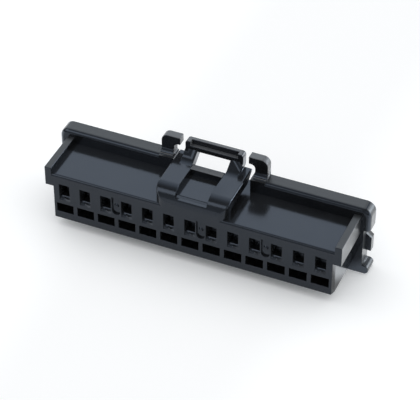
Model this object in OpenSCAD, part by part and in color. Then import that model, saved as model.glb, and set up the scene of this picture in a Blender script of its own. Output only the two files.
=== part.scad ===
// Plug housing of a single-row wire-to-board connector, moulded in one piece.
// X runs along the row, Y from the mating face to the wire side, Z up.
// Heights are measured from the underside of the body, depths from the mating face.

/* [Circuits] */
// Number of terminal positions in the row
circuits = 13; // [7:1:20]
// Distance between neighbouring terminal positions
pitch = 2; // [1.95:0.05:2.5]
// Distance from the last terminal position to the side of the body
end_margin = 1.2; // [1.1:0.05:2]

/* [Body] */
// Depth of the plug body, from the mating face to the flange
body_depth = 4.7; // [4.5:0.1:5.5]
// Height of the deck, the flat top of the body
deck_height = 4.8; // [4.6:0.1:6]
// Radius of the deck's front edge
edge_radius = 0.25; // [0.1:0.05:0.4]
// Width of the lead-in chamfer on each side of the body
side_lead_in = 0.15; // [0.05:0.05:0.3]
// Depth of that chamfer, from the mating face
lead_in_depth = 0.5; // [0.2:0.1:1]

/* [Terminal cavities] */
// Width of a terminal cavity
cavity_width = 1.62; // [1.4:0.02:1.7]
// Height of a terminal cavity's floor
cavity_floor = 1.9; // [1.8:0.05:2.1]
// Clear height of a terminal cavity
cavity_clear = 2.25; // [2.1:0.05:2.4]
// Thickness of the front wall that stops the terminals
front_wall = 0.8; // [0.6:0.05:1.2]
// Chamfer round the wire end of a cavity
wire_lead_in = 0.12; // [0.05:0.01:0.13]

/* [Pin entries] */
// Width of a pin entry in the front wall
entry_width = 0.8; // [0.6:0.05:0.85]
// Height of a pin entry
entry_height = 1.3; // [1:0.05:1.35]
// Height of a pin entry's lower edge
entry_bottom = 2.45; // [2.4:0.05:2.6]
// Depth of the funnel in front of a pin entry
funnel_depth = 0.3; // [0.2:0.05:0.4]
// Widening of the funnel on each side
funnel_flare = 0.11; // [0.05:0.01:0.12]
// Widening of the funnel at its top
funnel_top = 0.12; // [0.05:0.01:0.2]
// Height of the sloping sill at the funnel's bottom
funnel_sill = 0.33; // [0.1:0.01:0.35]

/* [Locking lances] */
// Height of the lower edge of a lance window
window_bottom = 0.77; // [0.6:0.01:0.9]
// Height of a lance window in the mating face
window_height = 0.94; // [0.7:0.02:1]
// Width of a lance
lance_width = 1.1; // [0.8:0.05:1.2]
// Thickness of a lance
lance_thickness = 0.5; // [0.4:0.05:0.6]
// Depth at which a lance ends
lance_tip = 1.5; // [1.3:0.1:2]
// Depth at which a lance grows out of the floor
lance_root = 4.4; // [4:0.1:5]
// Height of the catch on a lance
catch_height = 0.4; // [0.2:0.05:0.5]
// Depth of the flat top of the catch
catch_flat = 0.2; // [0.1:0.05:0.4]
// Depth of the ramp that leads up to the catch
catch_ramp = 0.8; // [0.5:0.1:1.2]

/* [End rails] */
// Width of an end rail, outside the body
rail_width = 0.63; // [0.4:0.01:1]
// Height of an end rail's underside
rail_bottom = 3.48; // [3:0.02:4]
// Rise of an end rail above the deck
rail_rise = 0.63; // [0.4:0.01:1]

/* [Flange] */
// Thickness of the flange
flange_thickness = 1.45; // [1.2:0.05:2]
// Rise of the flange above the deck
flange_rise = 1.25; // [1.1:0.05:1.6]
// Drop of the flange below the body
flange_drop = 1; // [0.8:0.05:1.5]
// Reach of the flange beyond the end rails
flange_reach = 0.84; // [0.7:0.02:1.5]
// Radius of the flange's upper corners
flange_corner = 0.85; // [0.5:0.05:1.2]
// Radius of the flange's front edge
flange_edge = 0.4; // [0.1:0.05:0.4]

/* [Retainer notches] */
// Depth of the notch in each end of the flange
notch_depth = 0.55; // [0.5:0.01:0.8]
// Height of the notch's lower edge, below the underside of the body
notch_bottom = -0.14; // [-0.3:0.02:0.1]
// Height of the notch's upper edge
notch_top = 3.82; // [3.5:0.02:4.2]
// Reach of the rounded foot below the notch, beyond the flange's end
foot_reach = 0.08; // [-0.2:0.02:0.2]
// Reach of the nub that catches the retainer
nub_reach = 0.52; // [0.3:0.02:0.6]
// Height of the nub's underside
nub_bottom = 1.1; // [0.8:0.05:1.4]
// Height of the nub at its outer side
nub_height = 1.45; // [1:0.05:1.6]
// Height of the slope on top of the nub
nub_slope = 0.45; // [0.2:0.05:0.6]
// Thickness of the nub, at the rear of the flange
nub_thickness = 0.68; // [0.4:0.02:0.9]

/* [Latch ears] */
// Width of the gap in the flange that the latch works in
latch_gap = 7.26; // [7.2:0.02:9]
// Distance from that gap to an ear's inner side
ear_setback = 0.18; // [0.1:0.02:0.3]
// Width of an ear's stem
ear_width = 1.19; // [0.8:0.01:2]
// Thickness of an ear
ear_thickness = 0.8; // [0.6:0.02:0.9]
// Rise of an ear above the flange
ear_rise = 1.9; // [1.85:0.05:2.5]
// Radius of an ear's outer upper corner
ear_corner = 0.65; // [0.3:0.05:0.8]
// Reach of an ear's hook over the latch
hook_reach = 0.6; // [0.45:0.05:0.9]
// Height of the hook at its tip
hook_height = 0.75; // [0.5:0.05:0.8]
// Radius of the curve below the hook
throat_radius = 0.4; // [0.2:0.05:0.45]
// Radius of the fillet between an ear and the flange's top
ear_fillet = 0.6; // [0.3:0.05:0.62]

/* [Latch arm] */
// Width of the latch arm
arm_width = 6.8; // [6.4:0.1:7]
// Rise of the arm's upper side above the deck
arm_rise = 1.65; // [1.5:0.05:1.8]
// Thickness of the arm
arm_thickness = 1; // [0.8:0.05:1.1]
// Depth at which the arm's side strips end
arm_end = 5.75; // [5.4:0.05:6]
// Depth at which the underside of the side strips begins to rise
strip_bend = 4.65; // [4.5:0.05:5.2]
// Thickness of a side strip at its rear end
strip_tip = 0.2; // [0.15:0.05:0.6]
// Thickness of the arm's root, at the mating face
root_thickness = 1; // [0.8:0.05:1.5]
// Radius of the nose, where the root turns into the arm
nose_radius = 1.4; // [1.2:0.05:1.6]
// Radius of the root's upright corners
nose_corner = 0.9; // [0.3:0.1:1]
// Radius of the fillet behind the root, under the arm
root_fillet = 0.3; // [0.1:0.05:0.4]

/* [Latch channel] */
// Width of the channel in the arm
channel_width = 2.95; // [2.4:0.05:3.1]
// Depth of the channel below the arm's upper side
channel_drop = 0.58; // [0.4:0.02:0.64]
// Depth at which the channel's floor begins, behind its stepped mouth
channel_front = 0.62; // [0.6:0.01:0.8]
// Height of the first step of the channel's mouth
mouth_step = 0.17; // [0.1:0.01:0.2]
// Depth at which the locking bar begins
bar_front = 3.58; // [3:0.02:3.6]
// Depth of the locking bar's top
bar_depth = 0.62; // [0.4:0.02:0.8]

/* [Press pad] */
// Width of the press pad and the ramp that carries it
pad_width = 5.44; // [5.2:0.02:5.6]
// Rise of the press pad above the arm
pad_rise = 1.5; // [1.4:0.05:1.6]
// Depth at which the press pad begins
pad_front = 5.32; // [5.2:0.02:5.5]
// Depth of the press pad
pad_depth = 0.75; // [0.6:0.05:0.9]
// Radius of the press pad's upper corners
pad_corner = 0.3; // [0.2:0.05:0.5]
// Width of the finger pocket in the front of the pad
pocket_width = 4.4; // [4:0.1:4.6]
// Depth of that pocket
pocket_depth = 0.37; // [0.2:0.01:0.45]
// Height of that pocket
pocket_height = 0.48; // [0.3:0.02:0.6]
// Height of the upright lip between the pocket and the ramp
lip_height = 0.34; // [0.2:0.02:0.4]
// Thickness of the ramp, square to its slope
ramp_thickness = 0.8; // [0.6:0.05:0.9]
// Radius of the fillet at the foot of the ramp
ramp_fillet = 1.2; // [0.4:0.1:1.4]
// Width of the window in the ramp
ramp_window_width = 3.1; // [2.6:0.02:3.6]
// Height of the window's upper edge above the arm
ramp_window_rise = 0.56; // [0.4:0.02:0.6]

/* [Gate recesses] */
// Number of terminal positions between an outer gate recess and its end of the row
gate_inset = 3; // [1:1:3]
// Width of a gate recess
gate_width = 0.8; // [0.5:0.05:0.85]
// Height of a gate recess's lower end
gate_bottom = 2.2; // [1.9:0.05:2.4]
// Length of a gate recess
gate_length = 1.85; // [1.4:0.05:2]
// Depth of a gate recess
gate_depth = 0.2; // [0.1:0.02:0.3]
// Diameter of the gate's remnant on the recess's floor
remnant_diameter = 0.44; // [0.3:0.02:0.48]
// Diameter of the remnant's broken tip
remnant_tip = 0.2; // [0.1:0.05:0.25]
// Height of the remnant
remnant_height = 0.14; // [0.06:0.02:0.2]

/* [Keying ribs] */
// Distance from the side of the body to a keying rib under it
rib_inset = 4.6; // [2:0.1:5]
// Width of a keying rib
rib_width = 1.2; // [0.8:0.1:1.6]
// Distance from the mating face to a keying rib
rib_setback = 1.4; // [1.3:0.1:2]

/* [Hidden] */
$fn = 64;
overlap = 0.05;
plastic = [0.11, 0.12, 0.14];

row_length = (circuits - 1) * pitch;
body_width = row_length + 2 * end_margin;
rail_outer = body_width / 2 + rail_width;
flange_width = 2 * (rail_outer + flange_reach);
flange_top = deck_height + flange_rise;
flange_rear = body_depth + flange_thickness;
flange_height = flange_top + flange_drop;
corner_place = flange_width / 2 - flange_corner;
corner_height = flange_top - flange_corner;
notch_inner = flange_width / 2 - notch_depth;
foot_end = flange_width / 2 + foot_reach;
foot_radius = (notch_bottom + flange_drop) / 2;

cavity_top = cavity_floor + cavity_clear;
window_top = window_bottom + window_height;
entry_top = entry_bottom + entry_height;
catch_top = cavity_floor + catch_height;

ear_top = flange_top + ear_rise;
ear_inner = latch_gap / 2 + ear_setback;
ear_outer = ear_inner + ear_width;
ear_front = flange_rear - ear_thickness;
ear_foot = ear_setback - overlap;
hook_tip = ear_inner - hook_reach;
hook_bottom = ear_top - hook_height;

arm_top = deck_height + arm_rise;
arm_bottom = arm_top - arm_thickness;
root_bottom = deck_height - edge_radius;
channel_floor = arm_top - channel_drop;
ledge_height = channel_floor - mouth_step;
ledge_rear = channel_front - mouth_step;
bar_rear = bar_front + bar_depth;

pad_height = arm_top + pad_rise;
pad_rear = pad_front + pad_depth;
pocket_floor = pad_height - pocket_height;
ramp_top = pocket_floor - lip_height;
ramp_window_top = arm_top + ramp_window_rise;
ramp_slope = (ramp_top - arm_top) / (pad_front - bar_rear);
ramp_angle = atan(ramp_slope);
ramp_drop = ramp_thickness / cos(ramp_angle);
fillet_run = ramp_fillet * tan(ramp_angle / 2);

gate_after = [gate_inset, ceil(circuits / 2), circuits - gate_inset];

total_depth = max(pad_rear, flange_rear);

// Extrudes an outline drawn in depth and height, centred across the row
module across(width) {
    rotate([90, 0, 90])
        linear_extrude(width, center = true)
            children();
}

// Extrudes an outline drawn in row place and height, from one depth to another
module along_depth(from, to) {
    translate([0, to, 0])
        rotate([90, 0, 0])
            linear_extrude(to - from)
                children();
}

// Sliver between a square corner at the origin and the arc that rounds it
module corner_sliver(radius) {
    difference() {
        translate([-overlap, -overlap])
            square(radius + overlap);
        translate([radius, radius])
            circle(radius);
    }
}

// Repeats a shape at both ends of the row
module both_ends() {
    children();
    mirror([1, 0, 0])
        children();
}

// Body with a rounded deck edge, widened under the rails and carried through to the flange's rear
module body_block() {
    intersection() {
        union() {
            linear_extrude(deck_height)
                polygon([
                    [-body_width / 2 + side_lead_in, 0],
                    [body_width / 2 - side_lead_in, 0],
                    [body_width / 2, lead_in_depth],
                    [body_width / 2, flange_rear],
                    [-body_width / 2, flange_rear],
                    [-body_width / 2, lead_in_depth]
                ]);
            translate([-rail_outer, 0, rail_bottom])
                cube([2 * rail_outer, body_depth + overlap, deck_height - rail_bottom]);
        }
        across(2 * rail_outer)
            difference() {
                square([flange_rear, deck_height]);
                translate([0, deck_height])
                    mirror([0, 1])
                        corner_sliver(edge_radius);
            }
    }
}

// Rail along one end of the body, that guides the plug into its socket
module end_rail() {
    translate([body_width / 2, 0, rail_bottom])
        cube([rail_width, body_depth + overlap, deck_height + rail_rise - rail_bottom]);
}

// Half of the flange's outline, with the rounded foot below the notch
module flange_half() {
    difference() {
        translate([0, -flange_drop])
            square([flange_width / 2, flange_height]);
        translate([flange_width / 2, flange_top])
            rotate(180)
                corner_sliver(flange_corner);
        translate([notch_inner, -flange_drop - overlap])
            square([notch_depth + overlap, notch_top + flange_drop + overlap]);
    }
    translate([body_width / 2, -flange_drop])
        square([foot_end - foot_radius - body_width / 2, 2 * foot_radius]);
    translate([foot_end - foot_radius, foot_radius - flange_drop])
        circle(foot_radius);
}

// Sliver that rounds the flange's front edge, from an ear round the upper corner to the notch
module flange_rounding() {
    translate([(ear_outer + corner_place) / 2, body_depth, flange_top])
        across(corner_place - ear_outer)
            mirror([0, 1])
                corner_sliver(flange_edge);
    translate([corner_place, body_depth, corner_height])
        rotate([-90, -90, 0])
            rotate_extrude(angle = 90)
                translate([flange_corner, 0])
                    mirror([1, 0])
                        corner_sliver(flange_edge);
    translate([flange_width / 2, body_depth, notch_top])
        linear_extrude(corner_height - notch_top)
            mirror([1, 0])
                corner_sliver(flange_edge);
}

// Flange plate at the wire side, open in the middle for the latch
module flange() {
    difference() {
        along_depth(body_depth, flange_rear)
            difference() {
                both_ends()
                    flange_half();
                translate([-latch_gap / 2, deck_height])
                    square([latch_gap, flange_rise + overlap]);
            }
        both_ends()
            flange_rounding();
    }
}

// Nub in the notch, sloped on top, that the retainer snaps over
module retainer_nub() {
    along_depth(flange_rear - nub_thickness, flange_rear)
        polygon([
            [notch_inner - overlap, nub_bottom],
            [notch_inner + nub_reach, nub_bottom],
            [notch_inner + nub_reach, nub_bottom + nub_height],
            [notch_inner - overlap, nub_bottom + nub_height + nub_slope]
        ]);
}

// Hooked ear that guards the latch, with a fillet in front of its foot and a small one inside it
module latch_ear() {
    along_depth(ear_front, flange_rear)
        difference() {
            union() {
                translate([ear_inner, deck_height])
                    square([ear_width, ear_top - deck_height]);
                translate([hook_tip, hook_bottom])
                    square([hook_reach + overlap, hook_height]);
                translate([ear_inner, hook_bottom])
                    rotate(180)
                        corner_sliver(throat_radius);
                translate([ear_inner, flange_top])
                    mirror([1, 0])
                        corner_sliver(ear_foot);
            }
            translate([ear_outer, ear_top])
                rotate(180)
                    corner_sliver(ear_corner);
        }
    translate([ear_inner + ear_width / 2, 0, 0])
        across(ear_width)
            translate([ear_front, flange_top])
                mirror([1, 0])
                    corner_sliver(ear_fillet);
}

// Side outline of the arm and its root, with the underside rising towards the rear
module arm_outline() {
    difference() {
        union() {
            translate([0, root_bottom])
                square([root_thickness, arm_top - root_bottom]);
            polygon([
                [0, arm_bottom],
                [strip_bend, arm_bottom],
                [arm_end, arm_top - strip_tip],
                [arm_end, arm_top],
                [0, arm_top]
            ]);
            translate([root_thickness, arm_bottom])
                mirror([0, 1])
                    corner_sliver(root_fillet);
        }
        translate([0, arm_top])
            mirror([0, 1])
                corner_sliver(nose_radius);
    }
}

// Side outline of the channel cut into the arm, with its stepped mouth
module channel_outline() {
    polygon([
        [-overlap, ledge_height],
        [ledge_rear, ledge_height],
        [channel_front, channel_floor],
        [bar_front, channel_floor],
        [bar_front, arm_top + overlap],
        [-overlap, arm_top + overlap]
    ]);
}

// Side outline of the ramp that rises from the arm, and of the press pad on it
module ramp_outline() {
    polygon([
        [bar_rear, arm_top],
        [pad_front, ramp_top],
        [pad_front, pad_height],
        [pad_rear, pad_height],
        [pad_rear, ramp_top + pad_depth * ramp_slope - ramp_drop],
        [bar_rear, arm_top - ramp_drop]
    ]);
    difference() {
        polygon([
            [bar_rear - fillet_run, arm_top - overlap],
            [bar_rear - fillet_run, arm_top],
            [bar_rear + fillet_run * cos(ramp_angle), arm_top + fillet_run * sin(ramp_angle)],
            [bar_rear + fillet_run * cos(ramp_angle), arm_top - overlap]
        ]);
        translate([bar_rear - fillet_run, arm_top + ramp_fillet])
            circle(ramp_fillet);
    }
}

// Front outline of the press pad, with rounded upper corners
module pad_outline() {
    difference() {
        translate([-pad_width / 2, arm_bottom - overlap])
            square([pad_width, pad_height - arm_bottom + overlap]);
        both_ends()
            translate([pad_width / 2, pad_height])
                rotate(180)
                    corner_sliver(pad_corner);
    }
}

// Side outline of the window, that opens the ramp and the space below the press pad
module ramp_window_outline() {
    polygon([
        [0, root_bottom],
        [pad_rear + overlap, root_bottom],
        [pad_rear + overlap, ramp_window_top],
        [pad_front, ramp_window_top],
        [pad_front, pad_height],
        [0, pad_height]
    ]);
}

// Latch arm, rooted at the mating face, with its locking bar and press pad
module latch() {
    ramp_space = total_depth - bar_rear + overlap;
    difference() {
        across(arm_width)
            arm_outline();
        across(channel_width)
            channel_outline();
        translate([-pad_width / 2, bar_rear, arm_bottom - overlap])
            cube([pad_width, ramp_space, arm_thickness + 2 * overlap]);
        translate([0, 0, root_bottom - overlap])
            linear_extrude(arm_top - root_bottom + 2 * overlap)
                both_ends()
                    translate([arm_width / 2, 0])
                        mirror([1, 0])
                            corner_sliver(nose_corner);
    }
    difference() {
        intersection() {
            across(pad_width)
                ramp_outline();
            along_depth(0, total_depth + overlap)
                pad_outline();
        }
        across(ramp_window_width)
            ramp_window_outline();
        across(pocket_width)
            translate([pad_front - overlap, pocket_floor])
                square([pocket_depth + overlap, pocket_height + overlap]);
    }
}

// Rib under the body that keys the plug in its socket
module keying_rib() {
    translate([body_width / 2 - rib_inset - rib_width, rib_setback, -flange_drop])
        cube([rib_width, body_depth - rib_setback + overlap, flange_drop + overlap]);
}

// Lance that springs up behind a terminal, as it lies in its cavity
module lance() {
    across(lance_width)
        polygon([
            [lance_root + overlap, cavity_floor - lance_thickness],
            [lance_tip, cavity_floor - lance_thickness],
            [lance_tip, catch_top],
            [lance_tip + catch_flat, catch_top],
            [lance_tip + catch_flat + catch_ramp, cavity_floor],
            [lance_root + overlap, cavity_floor]
        ]);
}

// Space of one terminal: lance window, cavity and chamfered wire end
module terminal_space() {
    flare = wire_lead_in + overlap;
    difference() {
        across(cavity_width)
            polygon([
                [-overlap, window_bottom],
                [lance_root, window_bottom],
                [lance_root, cavity_floor],
                [flange_rear + overlap, cavity_floor],
                [flange_rear + overlap, cavity_top],
                [front_wall, cavity_top],
                [front_wall, window_top],
                [-overlap, window_top]
            ]);
        lance();
    }
    intersection() {
        across(cavity_width + 2 * flare)
            polygon([
                [flange_rear - wire_lead_in, cavity_floor],
                [flange_rear + overlap, cavity_floor - flare],
                [flange_rear + overlap, cavity_top + flare],
                [flange_rear - wire_lead_in, cavity_top]
            ]);
        linear_extrude(deck_height)
            polygon([
                [-cavity_width / 2, flange_rear - wire_lead_in],
                [-cavity_width / 2 - flare, flange_rear + overlap],
                [cavity_width / 2 + flare, flange_rear + overlap],
                [cavity_width / 2, flange_rear - wire_lead_in]
            ]);
    }
}

// Pin entry through the front wall, with a four-sided funnel in front of it
module pin_entry() {
    half = entry_width / 2;
    mouth = half + funnel_flare;
    translate([-half, 0, entry_bottom])
        cube([entry_width, front_wall + overlap, entry_height]);
    intersection() {
        across(2 * mouth)
            polygon([
                [-overlap, entry_bottom - funnel_sill],
                [0, entry_bottom - funnel_sill],
                [funnel_depth, entry_bottom],
                [funnel_depth, entry_top],
                [0, entry_top + funnel_top],
                [-overlap, entry_top + funnel_top]
            ]);
        linear_extrude(deck_height)
            polygon([
                [-mouth, -overlap],
                [mouth, -overlap],
                [mouth, 0],
                [half, funnel_depth],
                [-half, funnel_depth],
                [-mouth, 0]
            ]);
    }
}

// Recess with a rounded lower end, in which the moulding gate broke off
module gate_recess() {
    along_depth(-overlap, gate_depth) {
        translate([0, gate_bottom + gate_width / 2])
            circle(d = gate_width);
        translate([-gate_width / 2, gate_bottom + gate_width / 2])
            square([gate_width, gate_length - gate_width / 2]);
    }
}

// Remnant of the gate on the floor of its recess
module gate_remnant() {
    translate([0, gate_depth, gate_bottom + gate_length / 2])
        rotate([90, 0, 0])
            cylinder(h = remnant_height, d1 = remnant_diameter, d2 = remnant_tip);
}

// The whole moulding, standing on its flange and ribs, centred over the origin
module housing() {
    color(plastic)
        translate([0, -total_depth / 2, flange_drop]) {
            difference() {
                union() {
                    body_block();
                    flange();
                    latch();
                    both_ends() {
                        end_rail();
                        retainer_nub();
                        latch_ear();
                        keying_rib();
                    }
                }
                for (place = [0 : circuits - 1])
                    translate([place * pitch - row_length / 2, 0, 0]) {
                        terminal_space();
                        pin_entry();
                    }
                for (after = gate_after)
                    translate([(after - 0.5) * pitch - row_length / 2, 0, 0])
                        gate_recess();
            }
            for (after = gate_after)
                translate([(after - 0.5) * pitch - row_length / 2, 0, 0])
                    gate_remnant();
        }
}

housing();
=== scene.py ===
"""Looks of a black moulded connector housing: soft edges, three finishes, studio light and camera."""
import math

import bmesh
import bpy
from mathutils import Matrix, Vector


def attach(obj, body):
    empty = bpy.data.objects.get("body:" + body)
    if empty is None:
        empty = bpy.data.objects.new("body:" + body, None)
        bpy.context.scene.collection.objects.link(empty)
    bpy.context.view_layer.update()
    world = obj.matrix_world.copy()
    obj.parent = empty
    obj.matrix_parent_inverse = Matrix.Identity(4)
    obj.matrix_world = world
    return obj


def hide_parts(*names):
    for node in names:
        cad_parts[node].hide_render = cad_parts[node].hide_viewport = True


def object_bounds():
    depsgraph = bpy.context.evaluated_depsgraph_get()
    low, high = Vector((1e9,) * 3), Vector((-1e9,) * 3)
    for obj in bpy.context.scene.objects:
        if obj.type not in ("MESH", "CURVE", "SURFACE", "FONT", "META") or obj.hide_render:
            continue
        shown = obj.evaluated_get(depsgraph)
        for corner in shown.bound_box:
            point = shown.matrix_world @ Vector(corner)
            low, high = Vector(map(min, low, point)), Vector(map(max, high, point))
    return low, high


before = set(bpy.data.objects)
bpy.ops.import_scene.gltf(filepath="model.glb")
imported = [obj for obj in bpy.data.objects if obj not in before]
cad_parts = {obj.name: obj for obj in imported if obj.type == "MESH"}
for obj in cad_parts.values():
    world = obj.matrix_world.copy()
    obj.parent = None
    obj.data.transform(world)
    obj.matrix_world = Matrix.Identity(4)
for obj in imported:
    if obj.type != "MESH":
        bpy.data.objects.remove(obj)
CAD_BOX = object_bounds()

MM = 0.001
NODE = "housing"

# Places on the moulding in millimetres: depth from the mating face, height above the underside of the body
MATING_FACE = (CAD_BOX[0] / MM).y
UNDERSIDE = 1.0
ROW_PITCH = 2.0
BODY_HALF = 13.2
DECK = 4.8
RAIL_UNDERSIDE = 3.48
RAIL_TOP = 5.43
FLANGE_FRONT = 4.7
FLANGE_REAR = 6.15
FLANGE_TOP = 6.05
CAVITY_HALF = 0.81
CAVITY_LOW, CAVITY_HIGH = 0.77, 4.15
ARM_HALF = 3.4
ARM_UNDERSIDE = 5.45
ARM_TOP = 6.45
NOSE_RADIUS = 1.4
ROOT_CORNER = 0.9
CHANNEL_HALF = 1.475
CHANNEL_MOUTH = 5.7
BAR_REAR = 4.2
EAR_FROM, EAR_TO = 3.1, 5.4
EAR_FOOT = 0.3
PAD_HALF = 2.72
PAD_TOP = 7.95
FACE_MARGIN = 0.2

# Room in millimetres when a face, edge or point is told by its place
PLAY = 0.05
FINE_PLAY = 0.03
CUT_PLAY = 0.003
WELD = 0.002

# Radii of the moulding's edges in millimetres
FLANGE_EDGE = 0.06
EAR_EDGE = 0.06
ARM_EDGE = 0.18
PAD_EDGE = 0.06
RAIL_EDGE = 0.05
HOLE_EDGE = 0.03
PLAIN_EDGE = 0.05
WIDEST_EDGE = max(FLANGE_EDGE, EAR_EDGE, ARM_EDGE, PAD_EDGE, RAIL_EDGE, HOLE_EDGE, PLAIN_EDGE)
EDGE_SEGMENTS = 3

# Turns between faces: edges with a sharp turn are rounded, faces with a flat one are joined, and a strip of a round
# turns less than the third against the round itself
SHARP_ANGLE = math.radians(38)
FLAT_ANGLE = math.radians(0.3)
STRIP_ANGLE = math.radians(16)
# Weight that keeps large faces flat in shading
FLAT_WEIGHT = 100

# Quarter rounds of the latch's root: centre, radius and the two directions that each turns between
FRONT, UP, RIGHT = Vector((0, -1, 0)), Vector((0, 0, 1)), Vector((1, 0, 0))
NOSE = (Vector((0, MATING_FACE + NOSE_RADIUS, UNDERSIDE + ARM_TOP - NOSE_RADIUS)), NOSE_RADIUS, FRONT, UP)
ROOT_CORNERS = tuple(
    (Vector((side * (ARM_HALF - ROOT_CORNER), MATING_FACE + ROOT_CORNER, 0)), ROOT_CORNER, FRONT, side * RIGHT)
    for side in (-1, 1)
)
ROUNDS = (NOSE, *ROOT_CORNERS)
ROUND_STRIPS = 5
# Material slots that stand for the rounds while they are cut
ROUND_MARKS = range(2, 2 + len(ROUNDS))

# Finishes in the order of the material slots: name, mean grey, mean roughness, bump, level of the gloss and painted
# tint of the light in the gloss
FINISHES = (
    # The smooth finish's blue gloss tint is painted bluish light in its reflections
    ("smooth_black", 0.0125, 0.14, 0.05, 0.5, (0.66, 0.79, 1, 1)),
    ("grained_black", 0.018, 0.32, 0.5, 0.5, (0.95, 0.98, 1, 1)),
    # The eroded finish's light grey and raised gloss level are a painted sheen over its real grain
    ("eroded_black_painted_sheen", 0.06, 0.45, 0.6, 0.85, (1, 1, 1, 1)),
)
SMOOTH, GRAINED, ERODED_SHEEN = range(len(FINISHES))
# How far the finish of pad and flange reaches down from their tops, and where the flange's begins beyond the body
FINISH_REACH = 0.6
# Least share of a face's normal along an axis: of a level face, and of one that faces that way fully or by half
LEVEL, FULLY, HALFWAY = 0.99, 0.9, 0.5
# The same on the flange: of its flat top and of its round ends, and the most that an end may face ahead
FLANGE_FLAT, FLANGE_END, FLANGE_AHEAD = 0.95, 0.4, 0.3

# Plastic: soft clouds of grey and gloss between two levels of a noise, and fine specks as bump
PLASTIC_IOR = 1.5
CLOUD_SCALE, CLOUD_DETAIL = 0.6 / MM, 6
CLOUD_LOW, CLOUD_HIGH = 0.3, 0.7
DARK_CLOUD, LIGHT_CLOUD = Vector((0.82, 0.88, 0.97)), Vector((1.08, 1.16, 1.28))
ROUGHNESS_SPREAD = 0.15
SPECK_SCALE, SPECK_DETAIL = 6 / MM, 3
SPECK_DEPTH = 0.02 * MM

# Floor, and its glow to the eye, which grows towards the ends of the housing
FLOOR_SIZE = 4.0
FLOOR_COLOUR = (0.925, 0.935, 0.945, 1)
FLOOR_ROUGHNESS = 0.9
FLOOR_GLOW, FLOOR_GLOW_ENDS = 0.12, 0.1
FLOOR_GLOW_FROM, FLOOR_GLOW_TO = 7.0 * MM, 16.0 * MM
FLOOR_GLOW_COLOUR = (0.93, 0.97, 1.0, 1)
# Glow of the floor in gloss beyond the ends: its level, how it leans to the back, where it begins and is full
GLOSS_GLOW = 1.05
GLOSS_GLOW_SLANT = 1.2
GLOSS_GLOW_FROM, GLOSS_GLOW_TO = 13.2 * MM, 15.0 * MM

# Soft lights: azimuth from the front towards +X and elevation in degrees, tightness and brightness of each.
# The fill is light from all round, with more overhead and low at both sides. The studio is what gloss shows.
WHITE = (1, 1, 1, 1)
FILL_LOW, FILL_OVERHEAD = 0.08, 1.5
FILL_SIDES = {
    "left": (-97, 15, 10, 0.9),
    "right": (97, 15, 10, 0.9),
}
SURROUNDINGS = 0.14
STUDIO_COLOUR = (0.85, 0.92, 1.0, 1)
STUDIO_LIGHTS = {
    "back": (-165, 22, 6, 2.05),
    "back_left_high": (-135, 62, 16, 0.75),
    "front_low": (-10, 4, 8, 0.3),
    "front_right": (48, 36, 24, 0.8),
    "right_strip": (100, 8, 24, 3.5),
    "right_strip_back": (135, 13, 22, 10.0),
}

# Lamp at the front left, which only gloss shows: place in degrees and metres, size, and brightness of its face
SOFTBOX_AZIMUTH, SOFTBOX_ELEVATION = -56, 42
SOFTBOX_DISTANCE = 0.6
SOFTBOX_WIDTH, SOFTBOX_HEIGHT = 0.58, 0.37
SOFTBOX_RADIANCE = 1.9

# Camera of the photograph: place in degrees and metres, the point that it looks at, and its lens
VIEW_AZIMUTH, VIEW_ELEVATION = 23.229, 40.174
VIEW_DISTANCE = 167.81 * MM
VIEW_TARGET = Vector((0.618, MATING_FACE + 3.0, UNDERSIDE + 4.092)) * MM
FOCAL_PIXELS = 1940.7
FRAME_PIXELS = 420
SENSOR_WIDTH = 36.0
NEAR_LIMIT = 10 * MM


def local(point):
    """Row place, depth behind the mating face and height above the underside of a point in millimetres."""
    return point.x, point.y - MATING_FACE, point.z - UNDERSIDE


def is_at(face, height):
    """Whether a face in millimetres lies at a height."""
    return abs(local(face.calc_center_median())[2] - height) < PLAY


def in_cavity(across, depth, height):
    """Whether a place lies inside a terminal cavity, behind its mouth and in front of its wire end."""
    from_middle = abs(across - ROW_PITCH * round(across / ROW_PITCH))
    deep = FINE_PLAY < depth < FLANGE_REAR - FINE_PLAY
    level = CAVITY_LOW - FINE_PLAY < height < CAVITY_HIGH + FINE_PLAY
    return deep and level and from_middle < CAVITY_HALF + FINE_PLAY


def stays_sharp(across, depth, height):
    """Whether an edge stays sharp: in the cavities, on the channel's lip and where the ears meet the flange."""
    on_lip = abs(height - CHANNEL_MOUTH) < PLAY and abs(across) < CHANNEL_HALF and depth < ROOT_CORNER
    at_ear = EAR_FROM < abs(across) < EAR_TO and depth > FLANGE_FRONT - PLAY
    at_ear_foot = at_ear and abs(height - FLANGE_TOP) < EAR_FOOT
    return on_lip or at_ear_foot or in_cavity(across, depth, height)


def edge_radius(point):
    """Radius of the moulding's edge at a point in millimetres, or 0 where it stays sharp."""
    across, depth, height = local(point)
    aside = abs(across)
    if stays_sharp(across, depth, height):
        return 0.0
    if height > FLANGE_TOP + PLAY and aside > ARM_HALF and depth > FLANGE_FRONT:
        return EAR_EDGE
    if height > ARM_TOP + PLAY:
        return PAD_EDGE
    if height > ARM_UNDERSIDE - PLAY and aside < ARM_HALF + PLAY:
        on_rim = aside > ARM_HALF - PLAY and height > ARM_TOP - ARM_EDGE
        return ARM_EDGE if on_rim else PLAIN_EDGE
    if depth > FLANGE_FRONT - PLAY and (height > DECK or aside > BODY_HALF or height < 0):
        return FLANGE_EDGE
    if aside > BODY_HALF - PLAY and height > RAIL_UNDERSIDE - PLAY:
        return RAIL_EDGE
    if depth < FINE_PLAY and 0 < height < DECK - PLAY and aside < BODY_HALF - FACE_MARGIN:
        return HOLE_EDGE
    return PLAIN_EDGE


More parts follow.
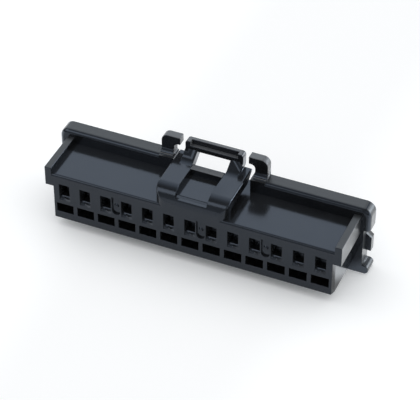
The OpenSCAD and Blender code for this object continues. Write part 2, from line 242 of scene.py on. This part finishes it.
def finish_of(face):
    """Finish of a face in millimetres: rails and flange are grained; ears, press pad and locking bar are eroded,
    and the eroded finish's lighter grey is a painted sheen.
    """
    across, depth, height = local(face.calc_center_median())
    aside = abs(across)
    facing = face.normal
    if aside > BODY_HALF + PLAY and depth < FLANGE_FRONT:
        on_rail_top = facing.z > FULLY and height > RAIL_TOP - PLAY
        return GRAINED if on_rail_top or abs(facing.x) > FULLY else SMOOTH
    if height > FLANGE_TOP + PLAY and EAR_FROM < aside < BODY_HALF and depth > FLANGE_FRONT:
        return ERODED_SHEEN if facing.y > -HALFWAY else SMOOTH
    if height > ARM_TOP + PLAY and aside < PAD_HALF + PLAY:
        on_pad = height > PAD_TOP - FINISH_REACH and (facing.z > FULLY or abs(facing.x) > HALFWAY)
        return ERODED_SHEEN if on_pad else SMOOTH
    if depth > FLANGE_FRONT and (height > FLANGE_TOP - FINISH_REACH or aside > BODY_HALF + FINISH_REACH):
        on_end = abs(facing.x) > FLANGE_END and facing.y > -FLANGE_AHEAD
        return GRAINED if on_end or facing.z > FLANGE_FLAT else SMOOTH
    on_bar = aside < CHANNEL_HALF and depth < BAR_REAR
    return ERODED_SHEEN if on_bar and facing.z > FULLY and is_at(face, ARM_TOP) else SMOOTH


def spoke(point, centre, first, last):
    """Part of the way from a round's axis to a point that is square to the axis."""
    out = point - centre
    return out.dot(first) * first + out.dot(last) * last


def on_round(point, centre, radius, first, last):
    """Whether a point lies on a quarter round that goes from the first direction to the last."""
    out = spoke(point, centre, first, last)
    within = min(out.dot(first), out.dot(last)) > -FINE_PLAY
    return within and abs(out.length - radius) < FINE_PLAY


def on_root_curve(edge):
    """Whether an edge lies where the nose and a corner of the latch's root meet."""
    ends = [vert.co for vert in edge.verts]
    on_nose = all(on_round(end, *NOSE) for end in ends)
    return on_nose and any(all(on_round(end, *corner) for end in ends) for corner in ROOT_CORNERS)


def marked_faces(shape, *marks):
    """Faces that carry one of the marks."""
    return [face for face in shape.faces if face.material_index in marks]


def points_of(faces):
    """Points of some faces, each once and in a fixed order."""
    return list(dict.fromkeys(vert for face in faces for vert in face.verts))


def parts_of(faces):
    """Some faces with their edges and points, each once and in a fixed order."""
    return list(dict.fromkeys(part for face in faces for part in (face, *face.edges, *face.verts)))


def clear_round(shape, round_off, mark):
    """Joins the old facets of a quarter round, and marks them."""
    faces = [face for face in shape.faces if all(on_round(vert.co, *round_off) for vert in face.verts)]
    for face in faces:
        face.material_index = mark
    edges = dict.fromkeys(edge for face in faces for edge in face.edges)
    inner = [edge for edge in edges if all(face.material_index == mark for face in edge.link_faces)]
    bmesh.ops.dissolve_edges(shape, edges=inner, use_verts=False)


def cut_round(shape, round_off, mark, angles):
    """Cuts a marked quarter round along its axis at some angles, and sets every point of it at the radius."""
    centre, radius, first, last = round_off
    for angle in angles:
        square = last * math.cos(angle) - first * math.sin(angle)
        parts = parts_of(marked_faces(shape, mark))
        bmesh.ops.bisect_plane(shape, geom=parts, dist=CUT_PLAY, plane_co=centre, plane_no=square)
    for vert in points_of(marked_faces(shape, mark)):
        out = spoke(vert.co, centre, first, last)
        vert.co += out * (radius / out.length - 1)


def set_on_corner(shape, corner, mark):
    """Moves the points where a root corner meets the nose sideways onto the corner's round."""
    centre, radius, first, last = corner
    for vert in points_of(marked_faces(shape, mark)):
        if on_round(vert.co, *NOSE):
            out = spoke(vert.co, centre, first, last)
            ahead = min(radius, max(0.0, out.dot(first)))
            vert.co += last * (math.sqrt(radius ** 2 - ahead ** 2) - out.dot(last))


def strip_angles():
    """Angles of the cuts on the nose and on the root corners, at the same depths and at the channel's mouth."""
    mouth_rise = math.asin((CHANNEL_MOUTH - ARM_TOP) / NOSE_RADIUS + 1)
    mouth_turn = math.acos(1 - NOSE_RADIUS * (1 - math.cos(mouth_rise)) / ROOT_CORNER)
    strip = (math.pi / 2 - mouth_turn) / ROUND_STRIPS
    turns = [mouth_turn / 2, *(mouth_turn + strip * step for step in range(ROUND_STRIPS))]
    depths = [ROOT_CORNER * (1 - math.cos(turn)) for turn in turns]
    rises = [math.acos(1 - depth / NOSE_RADIUS) for depth in (*depths, ROOT_CORNER)]
    last_rise = (rises[-1] + math.pi / 2) / 2
    return [*rises, last_rise], turns


def recut_root(shape):
    """Gives the nose and the two corners of the latch's root even strips that meet at the same points."""
    rises, turns = strip_angles()
    for mark, round_off in zip(ROUND_MARKS, ROUNDS):
        clear_round(shape, round_off, mark)
    loose = [vert for vert in points_of(marked_faces(shape, *ROUND_MARKS)) if len(vert.link_edges) == 2]
    bmesh.ops.dissolve_verts(shape, verts=loose)
    nose_mark, *corner_marks = ROUND_MARKS
    cut_round(shape, NOSE, nose_mark, rises)
    for mark, corner in zip(corner_marks, ROOT_CORNERS):
        set_on_corner(shape, corner, mark)
        cut_round(shape, corner, mark, turns)


def smooth_root(mesh):
    """Sets the normals of the nose and of the latch's root corners square to their rounds."""
    normals = [corner.vector.copy() for corner in mesh.corner_normals]
    for face in mesh.polygons:
        for loop in face.loop_indices:
            point = mesh.vertices[mesh.loops[loop].vertex_index].co
            for centre, radius, first, last in ROUNDS:
                out = spoke(point, centre, first, last).normalized()
                if on_round(point, centre, radius, first, last) and out.angle(face.normal) < STRIP_ANGLE:
                    normals[loop] = out
    mesh.normals_split_custom_set(normals)


def plain_shape(source):
    """The solid in millimetres, with one face for each flat stretch and the arm's top split beside the channel."""
    shape = bmesh.new()
    shape.from_mesh(source.data)
    shape.transform(Matrix.Scale(1 / MM, 4))
    bmesh.ops.remove_doubles(shape, verts=shape.verts, dist=WELD)
    bmesh.ops.dissolve_limit(
        shape, angle_limit=FLAT_ANGLE, verts=shape.verts, edges=shape.edges, use_dissolve_boundaries=False
    )
    for side in (-CHANNEL_HALF, CHANNEL_HALF):
        upper = [face for face in shape.faces if face.normal.z > LEVEL and is_at(face, ARM_TOP)]
        bmesh.ops.bisect_plane(shape, geom=parts_of(upper), plane_co=(side, 0, 0), plane_no=RIGHT)
    return shape


def weigh_edges(shape):
    """Gives each outer edge its radius as a share of the widest one, and keeps the other sharp edges sharp."""
    weights = shape.edges.layers.float.new("bevel_weight_edge")
    for edge in shape.edges:
        turn = edge.calc_face_angle_signed()
        on_curve = turn > FLAT_ANGLE and on_root_curve(edge)
        if turn > SHARP_ANGLE or on_curve:
            middle = (edge.verts[0].co + edge.verts[1].co) / 2
            edge[weights] = (ARM_EDGE if on_curve else edge_radius(middle)) / WIDEST_EDGE
        edge.smooth = abs(turn) < SHARP_ANGLE or edge[weights] > 0


def rounded(rough):
    """Copy of a mesh with its weighted edges rounded, and its large faces flat in shading."""
    holder = bpy.data.objects.new("rough", rough)
    bpy.context.scene.collection.objects.link(holder)
    bevel = holder.modifiers.new("edges", "BEVEL")
    bevel.limit_method = "WEIGHT"
    bevel.width = WIDEST_EDGE
    bevel.segments = EDGE_SEGMENTS
    bevel.use_clamp_overlap = False
    bevel.loop_slide = False
    bevel.miter_outer = "MITER_SHARP"
    normals = holder.modifiers.new("normals", "WEIGHTED_NORMAL")
    normals.keep_sharp = True
    normals.weight = FLAT_WEIGHT
    bpy.context.view_layer.update()
    evaluated = holder.evaluated_get(bpy.context.evaluated_depsgraph_get())
    mesh = bpy.data.meshes.new_from_object(evaluated)
    bpy.data.objects.remove(holder)
    return mesh


def softened(source):
    """Mesh of the moulding with its outer edges rounded, worked out in millimetres."""
    shape = plain_shape(source)
    recut_root(shape)
    weigh_edges(shape)
    for face in shape.faces:
        face.smooth = True
        face.material_index = finish_of(face)
    rough = bpy.data.meshes.new("rough")
    shape.to_mesh(rough)
    shape.free()
    mesh = rounded(rough)
    smooth_root(mesh)
    mesh.transform(Matrix.Scale(MM, 4))
    mesh.name = "moulding"
    return mesh


def feed(tree, entry, value):
    """Sets a node's input to a number, or links a socket to it."""
    if isinstance(value, (int, float)):
        entry.default_value = value
    else:
        tree.links.new(value, entry)


def combined(tree, operation, *terms):
    """Result of a math node on sockets and numbers."""
    node = tree.nodes.new("ShaderNodeMath")
    node.operation = operation
    for entry, term in zip(node.inputs, terms):
        feed(tree, entry, term)
    return node.outputs[0]


def all_added(tree, first, *others):
    """Sum of sockets and numbers."""
    total = first
    for other in others:
        total = combined(tree, "ADD", total, other)
    return total


def ranged(tree, value, source, target, interpolation="LINEAR"):
    """Value carried over from one span to another, and held at the ends of both."""
    node = tree.nodes.new("ShaderNodeMapRange")
    node.interpolation_type = interpolation
    for name, limit in zip(("From Min", "From Max", "To Min", "To Max"), (*source, *target)):
        node.inputs[name].default_value = limit
    tree.links.new(value, node.inputs["Value"])
    return node.outputs["Result"]


def noise(tree, scale, detail):
    """Noise that stays with the piece."""
    place = tree.nodes.new("ShaderNodeTexCoord")
    node = tree.nodes.new("ShaderNodeTexNoise")
    node.inputs["Scale"].default_value = scale
    node.inputs["Detail"].default_value = detail
    tree.links.new(place.outputs["Object"], node.inputs["Vector"])
    return node.outputs["Fac"]


def cloud_tint(tree, cloud, shade):
    """Grey of the plastic: a little darker and lighter than its mean in soft clouds."""
    ramp = tree.nodes.new("ShaderNodeValToRGB")
    stops = ((CLOUD_LOW, DARK_CLOUD), (CLOUD_HIGH, LIGHT_CLOUD))
    for element, (position, colour) in zip(ramp.color_ramp.elements, stops):
        element.position = position
        element.color = (*(colour * shade), 1)
    tree.links.new(cloud, ramp.inputs["Fac"])
    return ramp.outputs["Color"]


def plastic(name, shade, roughness, grain, sheen, light_tint_in_gloss):
    """Black moulded plastic: mean grey, mean roughness, strength of its fine bump, level of its gloss and painted
    tint of the light in it.
    """
    material = bpy.data.materials.new(name)
    material.use_nodes = True
    tree = material.node_tree
    shader = tree.nodes["Principled BSDF"]
    shader.inputs["IOR"].default_value = PLASTIC_IOR
    shader.inputs["Specular IOR Level"].default_value = sheen
    shader.inputs["Specular Tint"].default_value = light_tint_in_gloss
    cloud = noise(tree, CLOUD_SCALE, CLOUD_DETAIL)
    tree.links.new(cloud_tint(tree, cloud, shade), shader.inputs["Base Color"])
    spread = (roughness * (1 - ROUGHNESS_SPREAD), roughness * (1 + ROUGHNESS_SPREAD))
    tree.links.new(ranged(tree, cloud, (CLOUD_LOW, CLOUD_HIGH), spread), shader.inputs["Roughness"])
    bump = tree.nodes.new("ShaderNodeBump")
    bump.inputs["Strength"].default_value = grain
    bump.inputs["Distance"].default_value = SPECK_DEPTH
    tree.links.new(noise(tree, SPECK_SCALE, SPECK_DETAIL), bump.inputs["Height"])
    tree.links.new(bump.outputs["Normal"], shader.inputs["Normal"])
    return material


def make_housing():
    """The moulding with soft edges, in place of the plain solid."""
    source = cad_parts[NODE]
    piece = bpy.data.objects.new("moulding", softened(source))
    bpy.context.scene.collection.objects.link(piece)
    for finish in FINISHES:
        piece.data.materials.append(plastic(*finish))
    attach(piece, "root")
    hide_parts(NODE)


def gloss_rays(tree, rays):
    """1 for rays that a surface mirrors or lets through, else 0."""
    return combined(tree, "MAXIMUM", rays["Is Glossy Ray"], rays["Is Transmission Ray"])


def floor_glow(tree):
    """Strength of the floor's glow to the eye and in gloss."""
    rays = tree.nodes.new("ShaderNodeLightPath").outputs
    place = tree.nodes.new("ShaderNodeTexCoord")
    split = tree.nodes.new("ShaderNodeSeparateXYZ")
    tree.links.new(place.outputs["Object"], split.inputs[0])
    aside = combined(tree, "ABSOLUTE", split.outputs["X"])
    levels = (FLOOR_GLOW, FLOOR_GLOW + FLOOR_GLOW_ENDS)
    to_eye = ranged(tree, aside, (FLOOR_GLOW_FROM, FLOOR_GLOW_TO), levels, "SMOOTHSTEP")
    beyond = combined(tree, "ADD", aside, combined(tree, "MULTIPLY", split.outputs["Y"], GLOSS_GLOW_SLANT))
    in_gloss = ranged(tree, beyond, (GLOSS_GLOW_FROM, GLOSS_GLOW_TO), (0.0, GLOSS_GLOW))
    return combined(
        tree,
        "ADD",
        combined(tree, "MULTIPLY", to_eye, rays["Is Camera Ray"]),
        combined(tree, "MULTIPLY", in_gloss, gloss_rays(tree, rays)),
    )


def make_floor():
    """White floor that the housing stands on."""
    bpy.ops.mesh.primitive_plane_add(size=FLOOR_SIZE, location=(0, 0, 0))
    floor = bpy.context.object
    floor.name = "floor"
    material = bpy.data.materials.new("white_floor")
    material.use_nodes = True
    tree = material.node_tree
    shader = tree.nodes["Principled BSDF"]
    shader.inputs["Base Color"].default_value = FLOOR_COLOUR
    shader.inputs["Roughness"].default_value = FLOOR_ROUGHNESS
    shader.inputs["Specular IOR Level"].default_value = 0.0
    shader.inputs["Emission Color"].default_value = FLOOR_GLOW_COLOUR
    tree.links.new(floor_glow(tree), shader.inputs["Emission Strength"])
    floor.data.materials.append(material)


def direction(azimuth, elevation):
    """Unit vector at an azimuth from the front towards +X and an elevation, both in degrees."""
    turn, rise = math.radians(azimuth), math.radians(elevation)
    flat = math.cos(rise)
    return Vector((flat * math.sin(turn), -flat * math.cos(turn), math.sin(rise)))


def soft_light(tree, view, azimuth, elevation, tightness, brightness):
    """One soft light along the world's view direction: brightness * exp(tightness * (cosine - 1))."""
    cosine = tree.nodes.new("ShaderNodeVectorMath")
    cosine.operation = "DOT_PRODUCT"
    cosine.inputs[1].default_value = direction(azimuth, elevation)
    tree.links.new(view, cosine.inputs[0])
    start = math.log(brightness) - tightness
    power = combined(tree, "MULTIPLY_ADD", cosine.outputs["Value"], tightness, start)
    return combined(tree, "EXPONENT", power)


def background(tree, colour, strength):
    """World shader of one colour, with a number or a socket as its strength."""
    shader = tree.nodes.new("ShaderNodeBackground")
    shader.inputs["Color"].default_value = colour
    feed(tree, shader.inputs["Strength"], strength)
    return shader.outputs[0]


def mixed(tree, factor, first, second):
    """First shader where the factor is 0, second where it is 1."""
    mix = tree.nodes.new("ShaderNodeMixShader")
    tree.links.new(factor, mix.inputs["Fac"])
    tree.links.new(first, mix.inputs[1])
    tree.links.new(second, mix.inputs[2])
    return mix.outputs[0]


def fill(tree, view):
    """Light from all round that grows with height, with a low soft light at each side."""
    split = tree.nodes.new("ShaderNodeSeparateXYZ")
    tree.links.new(view, split.inputs[0])
    squared = combined(tree, "MULTIPLY", split.outputs["Z"], split.outputs["Z"])
    overhead = combined(tree, "MULTIPLY_ADD", squared, FILL_OVERHEAD, FILL_LOW)
    sides = [soft_light(tree, view, *light) for light in FILL_SIDES.values()]
    return background(tree, WHITE, all_added(tree, overhead, *sides))


def studio(tree, view):
    """Surroundings as gloss shows them: soft lights in a dim room."""
    lights = [soft_light(tree, view, *light) for light in STUDIO_LIGHTS.values()]
    return background(tree, STUDIO_COLOUR, all_added(tree, *lights, SURROUNDINGS))


def make_world():
    """Surroundings: the fill for matt surfaces, the studio in gloss, white to the eye."""
    world = bpy.data.worlds.new("studio")
    world.use_nodes = True
    bpy.context.scene.world = world
    tree = world.node_tree
    tree.nodes.remove(tree.nodes["Background"])
    view = tree.nodes.new("ShaderNodeTexCoord").outputs["Generated"]
    rays = tree.nodes.new("ShaderNodeLightPath").outputs
    on_object = mixed(tree, gloss_rays(tree, rays), fill(tree, view), studio(tree, view))
    surface = mixed(tree, rays["Is Camera Ray"], on_object, background(tree, WHITE, 1.0))
    tree.links.new(surface, tree.nodes["World Output"].inputs["Surface"])


def make_softbox():
    """Rectangular lamp that faces the housing from the front left."""
    lamp = bpy.data.lights.new("front_left_softbox", "AREA")
    lamp.shape = "RECTANGLE"
    lamp.size = SOFTBOX_WIDTH
    lamp.size_y = SOFTBOX_HEIGHT
    lamp.energy = SOFTBOX_RADIANCE * math.pi * SOFTBOX_WIDTH * SOFTBOX_HEIGHT
    holder = bpy.data.objects.new("front_left_softbox", lamp)
    towards = direction(SOFTBOX_AZIMUTH, SOFTBOX_ELEVATION)
    holder.location = towards * SOFTBOX_DISTANCE
    holder.rotation_euler = towards.to_track_quat("Z", "Y").to_euler()
    holder.visible_diffuse = False
    bpy.context.scene.collection.objects.link(holder)


def make_camera():
    """Camera at the photograph's viewing angle."""
    data = bpy.data.cameras.new("camera")
    data.sensor_width = SENSOR_WIDTH
    data.lens = FOCAL_PIXELS * SENSOR_WIDTH / FRAME_PIXELS
    data.clip_start = NEAR_LIMIT
    camera = bpy.data.objects.new("camera", data)
    bpy.context.scene.collection.objects.link(camera)
    back = direction(VIEW_AZIMUTH, VIEW_ELEVATION)
    camera.location = VIEW_TARGET + back * VIEW_DISTANCE
    camera.rotation_euler = back.to_track_quat("Z", "Y").to_euler()
    bpy.context.scene.camera = camera


make_housing()
make_floor()
make_world()
make_softbox()
make_camera()
bpy.context.scene.view_settings.view_transform = "Standard"
